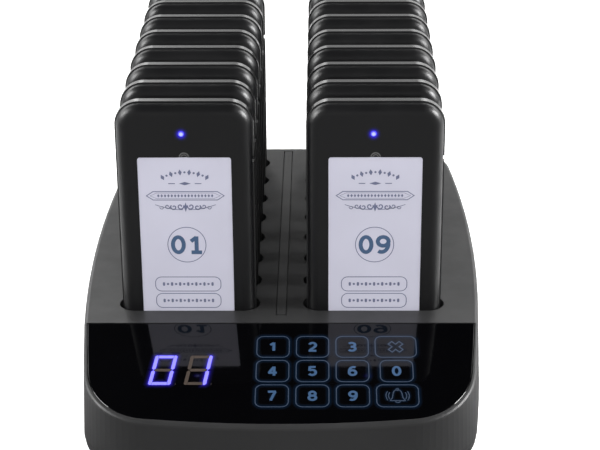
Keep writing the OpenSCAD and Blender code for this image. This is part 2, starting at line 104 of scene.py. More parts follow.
def opened(mat):
    """A material's tree, its shader, and a point's place in the frame at rest."""
    tree = mat.node_tree
    coords = tree.nodes["Texture Coordinate"].outputs["Object"]
    return tree, tree.nodes["Principled BSDF"], coords


def new_material(name):
    mat = bpy.data.materials.new(name)
    mat.use_nodes = True
    mat.node_tree.nodes.new("ShaderNodeTexCoord")
    return mat, *opened(mat)


def feed(tree, value, socket):
    """Sets a socket to a number or a colour, or links it to another node's output."""
    if isinstance(value, tuple):
        socket.default_value = (*value, 1.0)
    elif isinstance(value, (int, float)):
        socket.default_value = value
    else:
        tree.links.new(value, socket)


def noise(tree, coords, scale, detail=3.0, roughness=0.5):
    tex = tree.nodes.new("ShaderNodeTexNoise")
    tex.inputs["Scale"].default_value = scale
    tex.inputs["Detail"].default_value = detail
    tex.inputs["Roughness"].default_value = roughness
    tree.links.new(coords, tex.inputs["Vector"])
    return tex.outputs["Fac"]


def remap(tree, value, low, high, from_low=0.3, from_high=0.7):
    """Stretches from_low..from_high, by default the usual reach of a noise, to low..high."""
    node = tree.nodes.new("ShaderNodeMapRange")
    node.inputs["From Min"].default_value = from_low
    node.inputs["From Max"].default_value = from_high
    node.inputs["To Min"].default_value = low
    node.inputs["To Max"].default_value = high
    tree.links.new(value, node.inputs["Value"])
    return node.outputs["Result"]


def mix(tree, kind, factor, first, second):
    node = tree.nodes.new("ShaderNodeMix")
    node.data_type = kind
    tree.links.new(factor, node.inputs["Factor"])
    feed(tree, first, node.inputs["A"])
    feed(tree, second, node.inputs["B"])
    return node.outputs["Result"]


def mix_colours(tree, factor, first, second):
    return mix(tree, "RGBA", factor, first, second)


def mix_values(tree, factor, first, second):
    return mix(tree, "FLOAT", factor, first, second)


def maths(tree, operation, first, second=0.0):
    node = tree.nodes.new("ShaderNodeMath")
    node.operation = operation
    feed(tree, first, node.inputs[0])
    feed(tree, second, node.inputs[1])
    return node.outputs["Value"]


def axes(tree, vector):
    split = tree.nodes.new("ShaderNodeSeparateXYZ")
    tree.links.new(vector, split.inputs["Vector"])
    return split.outputs["X"], split.outputs["Y"], split.outputs["Z"]


def sum_of_squares(tree, first, second):
    return maths(tree, "ADD", maths(tree, "POWER", first, 2.0), maths(tree, "POWER", second, 2.0))


def ramp(tree, value, stops):
    """stops: (value, colour) in rising order, eased between."""
    node = tree.nodes.new("ShaderNodeValToRGB")
    node.color_ramp.interpolation = "EASE"
    elements = node.color_ramp.elements
    for element, (place, colour) in zip(elements, (stops[0], stops[-1])):
        element.position = place
        element.color = (*colour, 1.0)
    for place, colour in stops[1:-1]:
        elements.new(place).color = (*colour, 1.0)
    tree.links.new(value, node.inputs["Fac"])
    return node.outputs["Color"]


def bump(tree, shader, heights):
    """heights: (value, strength, distance in mm) from the coarsest to the finest."""
    normal = None
    for value, strength, distance in heights:
        node = tree.nodes.new("ShaderNodeBump")
        node.inputs["Strength"].default_value = strength
        node.inputs["Distance"].default_value = distance * MM
        tree.links.new(value, node.inputs["Height"])
        if normal is not None:
            tree.links.new(normal, node.inputs["Normal"])
        normal = node.outputs["Normal"]
    tree.links.new(normal, shader.inputs["Normal"])


def shade(colour, factor):
    return tuple(c * factor for c in colour)


# ---- materials; the scales of their noises are per metre ----

FLOW, HANDLING, SMUDGES, SLOW_WAVE = 28.0, 75.0, 60.0, 14.0
FINE_GRAIN, COVER_GRAIN, RUBBER_GRAIN = 2600.0, 3400.0, 1400.0
BRUSHING, TARNISH = 1800.0, 240.0
INK_SPREAD = 420.0
FIBRE, CLOUD = 900.0, 40.0
MASK_BLOTCH, MASK_RIPPLE = 160.0, 500.0
FLOOR_GRAIN = 3.0
SOLDER_MASK = (0.02, 0.12, 0.06)
GOLD = (0.85, 0.62, 0.25)
NICKEL = (0.70, 0.66, 0.60)


def moulded(name, colour, rough, grain=FINE_GRAIN, grain_height=0.02, spread=0.1, specular=0.5):
    """Moulded plastic: spark-eroded grain, soft flow marks and a little handling."""
    mat, tree, shader, coords = new_material(name)
    flow = remap(tree, noise(tree, coords, FLOW, 4.0), 0.0, 1.0)
    tone = mix_colours(tree, flow, shade(colour, 1.0 - spread), shade(colour, 1.0 + spread))
    tree.links.new(tone, shader.inputs["Base Color"])
    handled = noise(tree, coords, HANDLING, 5.0, 0.6)
    tree.links.new(remap(tree, handled, rough - 0.05, rough + 0.06), shader.inputs["Roughness"])
    shader.inputs["Specular IOR Level"].default_value = specular
    fine = noise(tree, coords, grain, 2.0)
    bump(tree, shader, [(handled, 0.12, 0.05), (fine, 0.5, grain_height)])
    return mat


def glossy(name, colour, rough):
    """Polished acrylic or moulded gloss: even, with the faintest wave and fingerprints."""
    mat, tree, shader, coords = new_material(name)
    smudge = noise(tree, coords, SMUDGES, 6.0, 0.65)
    tree.links.new(remap(tree, smudge, rough, rough + 0.05, 0.42, 0.75),
                   shader.inputs["Roughness"])
    tone = mix_colours(tree, smudge, shade(colour, 0.8), shade(colour, 1.3))
    tree.links.new(tone, shader.inputs["Base Color"])
    bump(tree, shader, [(noise(tree, coords, SLOW_WAVE, 1.0), 0.05, 0.05)])
    return mat


def metal(name, colour, rough):
    """Turned and brushed metal, a little tarnished."""
    mat, tree, shader, coords = new_material(name)
    shader.inputs["Metallic"].default_value = 1.0
    brushed = noise(tree, coords, BRUSHING, 3.0, 0.7)
    tree.links.new(remap(tree, brushed, rough - 0.06, rough + 0.1), shader.inputs["Roughness"])
    tone = mix_colours(tree, noise(tree, coords, TARNISH), shade(colour, 0.85), colour)
    tree.links.new(tone, shader.inputs["Base Color"])
    bump(tree, shader, [(brushed, 0.15, 0.01)])
    return mat


def printed(name, colour, rough, glow=0.0, glow_colour=(0.0, 0.0, 0.0)):
    """A printed or lit mark: its ink or light is a little uneven."""
    mat, tree, shader, coords = new_material(name)
    uneven = noise(tree, coords, INK_SPREAD)
    tone = mix_colours(tree, uneven, shade(colour, 0.9), shade(colour, 1.1))
    tree.links.new(tone, shader.inputs["Base Color"])
    shader.inputs["Roughness"].default_value = rough
    if glow:
        lit = mix_colours(tree, uneven, shade(glow_colour, 0.85), shade(glow_colour, 1.15))
        tree.links.new(lit, shader.inputs["Emission Color"])
        shader.inputs["Emission Strength"].default_value = glow
    return mat


def paper(name, colour):
    """The label card: coated paper with faint fibre and a slight wave."""
    mat, tree, shader, coords = new_material(name)
    fibre = noise(tree, coords, FIBRE, 5.0, 0.7)
    cloud = noise(tree, coords, CLOUD)
    tone = mix_colours(tree, remap(tree, cloud, 0.0, 1.0), shade(colour, 0.965),
                       shade(colour, 1.02))
    tree.links.new(tone, shader.inputs["Base Color"])
    tree.links.new(remap(tree, fibre, 0.38, 0.5), shader.inputs["Roughness"])
    bump(tree, shader, [(cloud, 0.06, 0.1), (fibre, 0.15, 0.01)])
    return mat


def board(name, metal_rule=None):
    """A circuit board: green solder mask, and gilt metal where metal_rule holds, which
    is how a point's height compares with one in millimetres."""
    mat, tree, shader, coords = new_material(name)
    blotch = noise(tree, coords, MASK_BLOTCH, 4.0)
    tone = mix_colours(tree, blotch, shade(SOLDER_MASK, 0.7), shade(SOLDER_MASK, 1.3))
    bump(tree, shader, [(noise(tree, coords, MASK_RIPPLE), 0.3, 0.03)])
    shader.inputs["Roughness"].default_value = 0.35
    if metal_rule is not None:
        operation, height = metal_rule
        bare = maths(tree, operation, axes(tree, coords)[2], height * MM)
        tone = mix_colours(tree, bare, tone, GOLD)
        tree.links.new(bare, shader.inputs["Metallic"])
    tree.links.new(tone, shader.inputs["Base Color"])
    return mat


def from_lamp(tree, coords):
    """How far a point of a pager's front is from its light, as a share of GLOW_REACH."""
    x, _, z = axes(tree, coords)
    across = maths(tree, "SUBTRACT", x, LAMP_X * MM)
    across = maths(tree, "SUBTRACT", maths(tree, "ABSOLUTE", across), COLUMN_X * MM)
    up = maths(tree, "SUBTRACT", z, (PAGER_FOOT + LAMP_Z) * MM)
    distance = maths(tree, "SQRT", sum_of_squares(tree, across, up))
    return maths(tree, "DIVIDE", distance, GLOW_REACH * MM)


def lit_lens(name):
    """The light's lens: nearly white in the middle, deep blue at its rim."""
    mat, tree, shader, coords = new_material(name)
    glow = ramp(tree, from_lamp(tree, coords), (
        (0.0, (0.62, 0.70, 1.0)),
        (0.16, (0.50, 0.56, 1.0)),
        (0.30, (0.10, 0.09, 0.9)),
        (0.42, (0.03, 0.02, 0.55))))
    tree.links.new(glow, shader.inputs["Emission Color"])
    shader.inputs["Emission Strength"].default_value = 1.0
    shader.inputs["Base Color"].default_value = (0.05, 0.05, 0.3, 1.0)
    shader.inputs["Roughness"].default_value = 0.15
    return mat


def spill(mat):
    """The blue that a pager's light throws on the cover round it."""
    tree, shader, coords = opened(mat)
    glow = ramp(tree, from_lamp(tree, coords), (
        (0.0, (0.05, 0.03, 1.0)),
        (LAMP_R / GLOW_REACH, (0.016, 0.008, 0.42)),
        (0.62, (0.003, 0.0015, 0.10)),
        (0.8, (0.0004, 0.0002, 0.012)),
        (1.0, (0.0, 0.0, 0.0))))
    tree.links.new(glow, shader.inputs["Emission Color"])
    shader.inputs["Emission Strength"].default_value = 1.0


def polished_top(mat, low, high, rougher):
    """Hands polish a pager's back cover from low, in millimetres over the counter, up to
    high; below low it is rougher by that much."""
    tree, shader, coords = opened(mat)
    height = axes(tree, coords)[2]
    polish = remap(tree, height, 0.0, 1.0, low * MM, high * MM)
    matt = remap(tree, height, rougher, 0.0, low * MM, high * MM)
    even = shader.inputs["Roughness"].links[0].from_socket
    tree.links.new(maths(tree, "ADD", even, matt), shader.inputs["Roughness"])
    tree.links.new(polish, shader.inputs["Coat Weight"])
    shader.inputs["Coat Roughness"].default_value = 0.1


def metal_pin(mat, x, z, radius):
    """Bare metal round an axis along Y, for the socket's contact pin; in millimetres."""
    tree, shader, coords = opened(mat)
    point_x, _, point_z = axes(tree, coords)
    across = maths(tree, "SUBTRACT", point_x, x * MM)
    up = maths(tree, "SUBTRACT", point_z, z * MM)
    inside = maths(tree, "LESS_THAN", sum_of_squares(tree, across, up), (radius * MM) ** 2)
    plastic = shader.inputs["Base Color"].links[0].from_socket
    tree.links.new(mix_colours(tree, inside, plastic, NICKEL), shader.inputs["Base Color"])
    tree.links.new(inside, shader.inputs["Metallic"])


# the base
CASE_TOP = moulded("case_top_plastic", (0.019, 0.019, 0.0195), 0.46)
CASE_BOTTOM = moulded("case_bottom_plastic", (0.016, 0.016, 0.0165), 0.48)
STRIP = moulded("strip_plastic", (0.017, 0.017, 0.0175), 0.38)
PANEL = glossy("panel_acrylic", (0.0009, 0.0009, 0.0012), 0.03)
DISPLAY_BODY = glossy("display_body", (0.02, 0.02, 0.025), 0.25)
SOCKET = glossy("socket_plastic", (0.012, 0.012, 0.012), 0.2)
metal_pin(SOCKET, JACK_X, REAR_Z, PIN_REACH)
SWITCH = glossy("switch_plastic", (0.010, 0.010, 0.010), 0.16)
MARK = printed("switch_mark", (0.75, 0.75, 0.75), 0.45)
RUBBER = moulded("foot_rubber", (0.018, 0.018, 0.018), 0.8, RUBBER_GRAIN, 0.05, specular=0.3)
STEEL = metal("screw_steel", (0.56, 0.56, 0.58), 0.3)
CHARGE_BOARD = board("charge_board_mask", ("GREATER_THAN", PINS_FROM))
CONTROL_BOARD = board("control_board_mask")

# the pagers
COVER = moulded("cover_plastic", (0.0045, 0.0045, 0.005), 0.37, COVER_GRAIN, 0.006, 0.15)
spill(COVER)
BACK_COVER = moulded("back_cover_plastic", (0.008, 0.008, 0.0085), 0.2, COVER_GRAIN, 0.003, 0.15,
                     specular=1.0)
polished_top(BACK_COVER, POLISH_LOW, POLISH_HIGH, rougher=0.22)
# painted highlight: a flat light grey standing in for the light that the nail notch's small bevel
# catches
NOTCH_HIGHLIGHT = moulded("notch_highlight_plastic", (0.13, 0.13, 0.13), 0.4, COVER_GRAIN, 0.006)
CORE_BOARD = board("core_board_mask", ("LESS_THAN", CONTACTS_TO))
CARD = paper("label_card", (0.625, 0.62, 0.73))
INK = printed("label_ink", (0.062, 0.115, 0.215), 0.5)
FINE_INK = printed("label_fine_ink", (0.15, 0.165, 0.27), 0.5)
LAMP_LIT = lit_lens("lamp_lit")

# the panel's lit marks; the layers of a glow go from the faintest to the brightest
KEY_INK = printed("key_light", (0.018, 0.038, 0.07), 0.3, 0.45, (0.06, 0.13, 0.28))
RING_INK = printed("key_ring_light", (0.024, 0.032, 0.046), 0.3, 0.4, (0.03, 0.055, 0.11))
KEY_GLOW = [printed(f"key_glow_{i}", (0.0018, 0.002, 0.003), 0.06, 0.3, (0.0, level * 0.35, level))
            for i, level in enumerate((0.010, 0.024, 0.045))]
DIGIT_LIT = printed("digit_lit", (0.1, 0.08, 0.5), 0.3, 1.0, (0.22, 0.22, 1.0))
DIGIT_GLOW = [printed(f"digit_glow_{i}", (0.0018, 0.0018, 0.003), 0.06, 1.0,
                      (level * 0.06, level * 0.03, level))
              for i, level in enumerate((0.012, 0.045, 0.13, 0.34))]
DIGIT_OFF = printed("digit_off", (0.048, 0.036, 0.028), 0.35)
DOT_OFF = printed("dot_off", (0.014, 0.011, 0.010), 0.35)


def dress(name, mat):
    mesh = nodes[name].data
    mesh.materials.clear()
    mesh.materials.append(mat)


for name, mat in {
    "top_case": CASE_TOP, "bottom_case": CASE_BOTTOM, "touch_panel": PANEL,
    "display_module": DISPLAY_BODY, "control_board": CONTROL_BOARD,
    "charge_boards": CHARGE_BOARD, "centre_strip": STRIP, "dc_jack": SOCKET,
    "power_switch": SWITCH, "power_rocker": SWITCH, "rubber_feet": RUBBER,
    "case_screws": STEEL,
}.items():
    dress(name, mat)
for n in range(1, PAGERS + 1):
    dress(f"pager_{n:02d}_front", COVER)
    dress(f"pager_{n:02d}_back", BACK_COVER)
    dress(f"pager_{n:02d}_core", CORE_BOARD)

# ---- flat artwork, drawn in millimetres on a face and then laid on it ----

SHARPEST_MITRE = 0.4                 # the cosine past which a mitre is cut short
NUMERAL_PITCH = 1.12                 # in widths of a numeral
STROKE_STEP = 0.002                  # keeps a numeral's crossing strokes apart


class Art:
    """Flat marks on one face: x to the right, y up, z out of the face, in millimetres."""

    def __init__(self):
        self.mesh = bmesh.new()

    def face(self, points, z, mat=0):
        verts = [self.mesh.verts.new((p[0], p[1], z)) for p in points]
        made = self.mesh.faces.new(verts)
        made.material_index = mat
        made.normal_update()
        if made.normal.z < 0:
            made.normal_flip()

    def line(self, points, width, z, mat=0, closed=False):
        """A ribbon of even width along a line, mitred at its corners."""
        count = len(points)
        sides = []
        for i, p in enumerate(points):
            before = points[(i - 1) % count] if closed or i else None
            after = points[(i + 1) % count] if closed or i < count - 1 else None
            along = []
            if before is not None:
                along.append((Vector(p) - Vector(before)).normalized())
            if after is not None:
                along.append((Vector(after) - Vector(p)).normalized())
            square = [Vector((-d.y, d.x)) for d in along]
            across = sum(square, Vector((0, 0))).normalized()
            reach = width / 2 / max(SHARPEST_MITRE, across.dot(square[0]))
            sides.append((Vector(p) + across * reach, Vector(p) - across * reach))
        for i in range(count if closed else count - 1):
            a, b = sides[i], sides[(i + 1) % count]
            self.face([a[0], a[1], b[1], b[0]], z, mat)

    def digits(self, text, height, width, thick, centre, z, mat=0, foot=False):
        """Plain bold numerals drawn with even strokes."""
        a, b = (width - thick) / 2, (height - thick) / 2
        pitch = width * NUMERAL_PITCH
        for i, char in enumerate(text):
            x0 = centre[0] + (i - (len(text) - 1) / 2) * pitch
            strokes = NUMERALS[char] + (FOOT if foot and char == "1" else [])
            for k, (points, closed) in enumerate(strokes):
                self.line([(x0 + x * a, centre[1] + y * b) for x, y in points], thick,
                          z + STROKE_STEP * k, mat, closed)

    def lay(self, name, body, slot, placing, mats):
        finish_piece(name, self.mesh, placing @ Matrix.Scale(MM, 4), body, mats)


def finish_piece(name, bm, matrix, body, mats, smooth=False):
    """Turns a mesh in the making into a piece that rides on a body."""
    mesh = bpy.data.meshes.new(name)
    bm.to_mesh(mesh)
    bm.free()
    mesh.transform(matrix)
    for mat in mats:
        mesh.materials.append(mat)
    for p in mesh.polygons:
        p.use_smooth = smooth
    piece = bpy.data.objects.new(name, mesh)
    bpy.context.scene.collection.objects.link(piece)
    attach(piece, body)
    return piece


def upright(turn=0.0):
    """Stands a drawing up to face the operator's side, or turned from there in degrees."""
    return (Matrix.Rotation(math.radians(turn), 4, "Z")
            @ Matrix.Rotation(math.radians(90), 4, "X"))


def bow(x, y, rx, ry, start, end, steps=18):
    """Part of an ellipse; the whole of it leaves out the last point."""
    points = [(x + rx * math.cos(math.radians(start + (end - start) * i / steps)),
               y + ry * math.sin(math.radians(start + (end - start) * i / steps)))
              for i in range(steps + 1)]
    return points[:-1] if abs(end - start) >= 360 else points


def circle(r, centre=(0, 0), steps=40, start=0.0, end=360.0):
    return bow(*centre, r, r, start, end, steps)


def rounded(w, h, r, centre=(0, 0), steps=6):
    """A rounded rectangle; steps are those of each corner."""
    points = []
    for i, (sx, sy) in enumerate(((1, 1), (-1, 1), (-1, -1), (1, -1))):
        corner = (centre[0] + sx * (w / 2 - r), centre[1] + sy * (h / 2 - r))
        points += bow(*corner, r, r, 90 * i, 90 * i + 90, steps)
    return points


def diamond(w, h, centre=(0, 0)):
    return [(centre[0] + w / 2, centre[1]), (centre[0], centre[1] + h / 2),
            (centre[0] - w / 2, centre[1]), (centre[0], centre[1] - h / 2)]


def spiral(centre, r0, r1, start, sweep, steps=16):
    points = []
    for i in range(steps + 1):
        r = r0 + (r1 - r0) * i / steps
        a = math.radians(start + sweep * i / steps)
        points.append((centre[0] + r * math.cos(a), centre[1] + r * math.sin(a)))
    return points


def turned(strokes):
    return [([(-x, -y) for x, y in points], closed) for points, closed in strokes]


# each numeral's strokes in a box from -1 to 1, with whether a stroke is closed
SIX = [(bow(0, -0.42, 0.96, 0.58, 0, 360, 28), True),
       (bow(0.28, -0.12, 1.22, 1.1, 62, 182), False)]
NUMERALS = {
    "0": [(bow(0, 0, 0.96, 1, 0, 360, 32), True)],
    "1": [([(0.2, -1), (0.2, 1.1)], False), ([(-0.8, 0.45), (0.2, 0.98)], False)],
    "2": [(bow(-0.02, 0.4, 0.92, 0.6, 162, -32) + [(-0.8, -0.9)], False),
          ([(-1.15, -1), (1.1, -1)], False)],
    "3": [(bow(-0.1, 0.5, 0.92, 0.5, 148, -90) + [(-0.4, 0.0)], False),
          ([(-0.4, 0.02)] + bow(-0.08, -0.48, 1.0, 0.52, 90, -148), False)],
    "4": [([(0.45, -1.15), (0.45, 1.1)], False), ([(0.35, 1.0), (-0.98, -0.42)], False),
          ([(-1.2, -0.45), (1.25, -0.45)], False)],
    "5": [([(-0.78, 1), (0.9, 1)], False), ([(-0.74, 1.15), (-0.84, 0.02)], False),
          (bow(-0.08, -0.36, 1.0, 0.64, 134, -148), False)],
    "6": SIX,
    "7": [([(-1.15, 1), (1.15, 1)], False), ([(0.92, 1.0), (-0.35, -1.15)], False)],
    "8": [(bow(0, 0.5, 0.82, 0.5, 0, 360, 26), True),
          (bow(0, -0.47, 0.98, 0.53, 0, 360, 28), True)],
    "9": turned(SIX),
}
FOOT = [([(-0.75, -1), (1.15, -1)], False)]

# ---- the label card of each pager, with a plain ornament and its number ----
# Drawn about the middle of the pager's width, y up from the pager's bottom edge.

LABEL_MATS = [CARD, INK, FINE_INK, NOTCH_HIGHLIGHT]
# the last is the painted highlight on the nail notch's edges
PLAIN, BOLD, FINE, NOTCH_GLINT = range(4)
CARD_GAP = 0.15                      # from the card's edge to its recess
CARD_SUNK = 0.12                     # from the card's face out to the cover's
CARD_FACE = LABEL_T - CARD_SUNK
INK_FACE = CARD_FACE + PRINT
RULE = 0.3                           # the line of the number's ring and of the fields
DASHES_Y, BANNER_Y, SCROLLS_Y, NUMBER_Y = 67.9, 63.1, 58.6, 43.6


def draw_card(art):
    """The card with its thickness, and a softly broken edge a little below its face."""
    outline = rounded(LABEL_W - 2 * CARD_GAP, LABEL_H - 2 * CARD_GAP, 1.0,
                      (0, LABEL_TOP - LABEL_H / 2))
    edge, edge_drop = 0.12, 0.04
    art.face(outline, CARD_FACE, PLAIN)
    art.line(outline, edge, CARD_FACE - edge_drop, PLAIN, True)
    for i, a in enumerate(outline):
        b = outline[(i + 1) % len(outline)]
        corners = ((*a, 0.0), (*b, 0.0), (*b, CARD_FACE), (*a, CARD_FACE))
        verts = [art.mesh.verts.new(p) for p in corners]
        art.mesh.faces.new(verts).material_index = PLAIN


def draw_arch(art):
    """Leaves and beads in turn, over two dashes and a lozenge."""
    radius, middle, spread = 17.1, 55.2, 28
    count, leaf, bead_r = 11, diamond(1.4, 2.4), 0.42
    half = (count - 1) / 2
    for i in range(count):
        turn = spread * (half - i) / half
        a = math.radians(90 + turn)
        place = Vector((radius * math.cos(a), middle + radius * math.sin(a)))
        if i % 2:
            art.face(circle(bead_r, place, 14), INK_FACE, FINE)
        else:
            lean = Matrix.Rotation(math.radians(turn), 2)
            art.face([place + lean @ Vector(point) for point in leaf], INK_FACE, FINE)
    for s in (-1, 1):
        art.line([(s * 3.6, DASHES_Y), (s * 6.0, DASHES_Y)], 0.34, INK_FACE, FINE)
    art.face(diamond(4.4, 1.3, (0, DASHES_Y)), INK_FACE, FINE)


def draw_banner(art):
    """A banner with pointed ends, lined inside, with a row of diamonds."""
    point = 2.4
    for w, h, line in ((28.2, 3.3, 0.32), (25.6, 2.2, 0.13)):
        shoulder = w / 2 - point
        top, bottom = BANNER_Y + h / 2, BANNER_Y - h / 2
        art.line([(-w / 2, BANNER_Y), (-shoulder, top), (shoulder, top), (w / 2, BANNER_Y),
                  (shoulder, bottom), (-shoulder, bottom)], line, INK_FACE, FINE, True)
    count, pitch = 17, 1.22
    for i in range(count):
        x = (i - (count - 1) / 2) * pitch
        art.face(diamond(0.95, 1.35, (x, BANNER_Y)), INK_FACE, FINE)


def draw_scrolls(art):
    """Scrolls on a sagging stem, the same on both sides of a lozenge."""
    art.face(diamond(1.2, 3.8, (0, SCROLLS_Y)), INK_FACE, FINE)
    # centre, first and last radius, start and sweep in degrees, line
    scrolls = (((1.9, SCROLLS_Y + 0.3), 0.3, 1.3, 200, -400, 0.44),
               ((4.3, SCROLLS_Y), 0.3, 1.2, 20, 380, 0.44),
               ((6.6, SCROLLS_Y + 0.3), 0.25, 1.0, 200, -380, 0.36),
               ((8.6, SCROLLS_Y - 0.1), 0.2, 0.8, 20, 350, 0.28))
    stem_drop, sag, stem_line = 1.0, 0.02, 0.24
    stem = [(x, SCROLLS_Y - stem_drop + sag * (x - 1) ** 2) for x in range(1, 12)]
    for s in (-1, 1):
        for centre, r0, r1, start, sweep, line in scrolls:
            art.line([(s * x, y) for x, y in spiral(centre, r0, r1, start, sweep)], line,
                     INK_FACE, FINE)
        art.line([(s * x, y) for x, y in stem], stem_line, INK_FACE, FINE)


def draw_number(art, number):
    """A pager's number in its ring."""
    height, width, stroke, ring_r = 7.6, 5.6, 1.5, 7.0
    art.line(circle(ring_r, (0.0, NUMBER_Y), 56), RULE, INK_FACE, FINE, True)
    art.digits(f"{number:02d}", height, width, stroke, (0.0, NUMBER_Y), INK_FACE, BOLD, True)


def draw_notch_highlight(art):
    """Painted highlight: light grey arcs on the edges of the nail notch over the card, on the
    cover itself, for the light that their small bevel catches.
    """
    for r, line in ((NOTCH_R - 0.3, 0.44), (NOTCH_R - 1.0, 0.34)):
        art.line(circle(r, (0, LABEL_TOP), 20, 10, 170), line, LABEL_T + PRINT, NOTCH_GLINT)


def draw_fields(art):
    """Two rounded fields with a row of tall and short bars in turn."""
    height, radius, count, pitch = 5.8, 2.3, 13, 1.5
    for y, width in ((27.6, 24.2), (20.8, 24.0)):
        art.line(rounded(width, height, radius, (0, y)), RULE, INK_FACE, FINE, True)
        for i in range(count):
            x = (i - (count - 1) / 2) * pitch
            bar_h = 1.5 if i % 2 == 0 else 0.9
            art.face(rounded(0.85, bar_h, 0.35, (x, y), 3), INK_FACE, FINE)


def draw_label(number):
    art = Art()
    draw_card(art)
    draw_arch(art)
    draw_banner(art)
    draw_scrolls(art)
    draw_number(art, number)
    draw_notch_highlight(art)
    draw_fields(art)
    return art


def add_lamp_dome(name, face):
    """The clear dome over a pager's light, flattened to stay inside the band."""
    gap, flattened, lift = 0.12, 0.55, 0.05
    bm = bmesh.new()
    bmesh.ops.create_uvsphere(bm, u_segments=24, v_segments=12, radius=LAMP_R - gap)
    for v in bm.verts:
        v.co.z *= flattened
    finish_piece(f"{name}_lamp", bm,
                 face @ Matrix.Scale(MM, 4) @ Matrix.Translation((LAMP_X, LAMP_Z, lift)),
                 name, [LAMP_LIT], True)


for n in range(1, PAGERS + 1):
    name = f"pager_{n:02d}"
    low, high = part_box(f"{name}_front")
    # from the drawing to the floor of the label's recess in the pager's front
    face = Matrix.Translation(((low.x + high.x) / 2, low.y + LABEL_T * MM,
                               low.z - BAND_PROUD * MM)) @ upright()
    draw_label(n).lay(f"{name}_label", name, "pager_label", face, LABEL_MATS)
    add_lamp_dome(name, face)

# ---- the marks on the power switch's rocker: a ring on one half, a bar on the other ----

MARK_FROM_CROWN = 2.4
crown = Matrix.Rotation(math.radians(ROCKER_THROW / 2), 2) @ Vector((0, ROCKER_CROWN))


def lay_rocker_mark(art, name, lean, side):
    """lean: how far that half of the rocker is tipped, in degrees; side: its sign along X."""
    away = Vector((math.cos(math.radians(lean)), math.sin(math.radians(lean)))) * side
    middle = crown + MARK_FROM_CROWN * away
    place = Vector((SWITCH_X + middle.x, PIVOT_Y + middle.y, REAR_Z)) * MM
    art.lay(name, "power_rocker", "switch_mark",
            Matrix.Translation(place) @ upright(180 + lean), [MARK])


RING_R, RING_LINE = 0.75, 0.24
BAR_REACH, BAR_LINE = 0.85, 0.28
ring = Art()
ring.line(circle(RING_R, (0, 0), 24), RING_LINE, PRINT, 0, True)
lay_rocker_mark(ring, "rocker_mark_off", 0.0, -1)
bar = Art()
bar.line([(0, -BAR_REACH), (0, BAR_REACH)], BAR_LINE, PRINT)
lay_rocker_mark(bar, "rocker_mark_on", ROCKER_THROW, 1)

# ---- the panel again, with its upper edge broken by a polished bevel ----

on_slope = (Matrix.Translation((0, CREASE_Y * MM, DECK_H * MM))
            @ Matrix.Rotation(math.radians(PANEL_TILT), 4, "X"))
to_slope = on_slope.inverted()


def is_upper_face(f):
    """Whether a face of the panel lies in the plane of the slope."""
    return ((to_slope.to_3x3() @ f.normal).z > 0.99
            and (to_slope @ f.calc_center_median()).z > -0.05 * MM)


def add_polished_panel():
    bm = bmesh.new()
    bm.from_mesh(nodes["touch_panel"].data)
    bmesh.ops.remove_doubles(bm, verts=bm.verts, dist=0.01 * MM)
    # without its triangles the upper face has one rim, which takes the whole bevel
    bmesh.ops.dissolve_limit(bm, angle_limit=math.radians(0.2), verts=bm.verts, edges=bm.edges)
    upper = {f for f in bm.faces if is_upper_face(f)}
    rim = [e for e in bm.edges if sum(f in upper for f in e.link_faces) == 1]
    bmesh.ops.bevel(bm, geom=rim, offset=PANEL_BEVEL * MM, offset_type="OFFSET", segments=5,
                    profile=0.5, affect="EDGES", clamp_overlap=False)
    panel = finish_piece("panel_polished", bm, Matrix.Identity(4), "base", [PANEL])
    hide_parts("touch_panel")


add_polished_panel()

# ---- the panel's keys ----
# Drawn on the slope, as the digits are: y is up along it from the crease of the deck.

KEY_MATS = [KEY_INK, RING_INK, *KEY_GLOW]
KEY, RING, GLOW = range(3)           # GLOW is the first of its layers
KEY_LEGENDS = (("1", "2", "3", "cross"), ("4", "5", "6", "0"), ("7", "8", "9", "bell"))
KEY_YS = [KEY_Y - KEY_PITCH_Y * i for i in range(3)]
KEY_XS = [KEY_X + KEY_PITCH_X * i for i in range(4)]
KEY_XS[-1] += LAST_KEY_GAP
KEY_W, WIDE_KEY_W, KEY_H, KEY_R = 11.7, 14.8, 10.4, 2.4
KEY_LINE, CROSS_LINE, LOOP_LINE, WAVE_LINE = 0.34, 0.44, 0.26, 0.3
NUMERAL_H, NUMERAL_W, NUMERAL_STROKE = 4.9, 3.5, 1.0
GLOW_WIDTHS = (2.2, 1.5, 0.9)        # how much wider than its line each layer of glow is
NARROW_GLOW = 0.6                    # the share of that width round the small signs
LINE_FACE, NUMERAL_FACE = PRINT + 0.02, PRINT + 0.022
keys = Art()


def glowing(points, width, closed=False, glow=1.0):
    """A lit line over its glow, whose layers get narrower and brighter upwards."""
    for i, more in enumerate(GLOW_WIDTHS):
        keys.line(points, width + more * glow, PRINT + LAYER * (i + 1), GLOW + i, closed)
    keys.line(points, width, LINE_FACE, RING, closed)


def cross(centre):
    """The outline of a plus sign, turned by 45 degrees."""
    arm, half = 2.8, 0.9
    quarter = [(half, arm), (half, half), (arm, half)]
    plus = []
    for _ in range(4):
        plus += quarter
        quarter = [(y, -x) for x, y in quarter]
    c = math.cos(math.radians(45))
    return [(centre[0] + (x - y) * c, centre[1] + (x + y) * c) for x, y in plus]


def bell(centre):
    half = [(0.0, 2.85), (0.65, 2.7), (1.16, 2.25), (1.5, 1.4), (1.68, 0.2), (1.9, -1.0),
            (2.5, -1.95), (2.6, -2.3)]
    right = [(centre[0] + x, centre[1] + y) for x, y in half]
    left = [(centre[0] - x, centre[1] + y) for x, y in reversed(half[1:])]
    return left + right


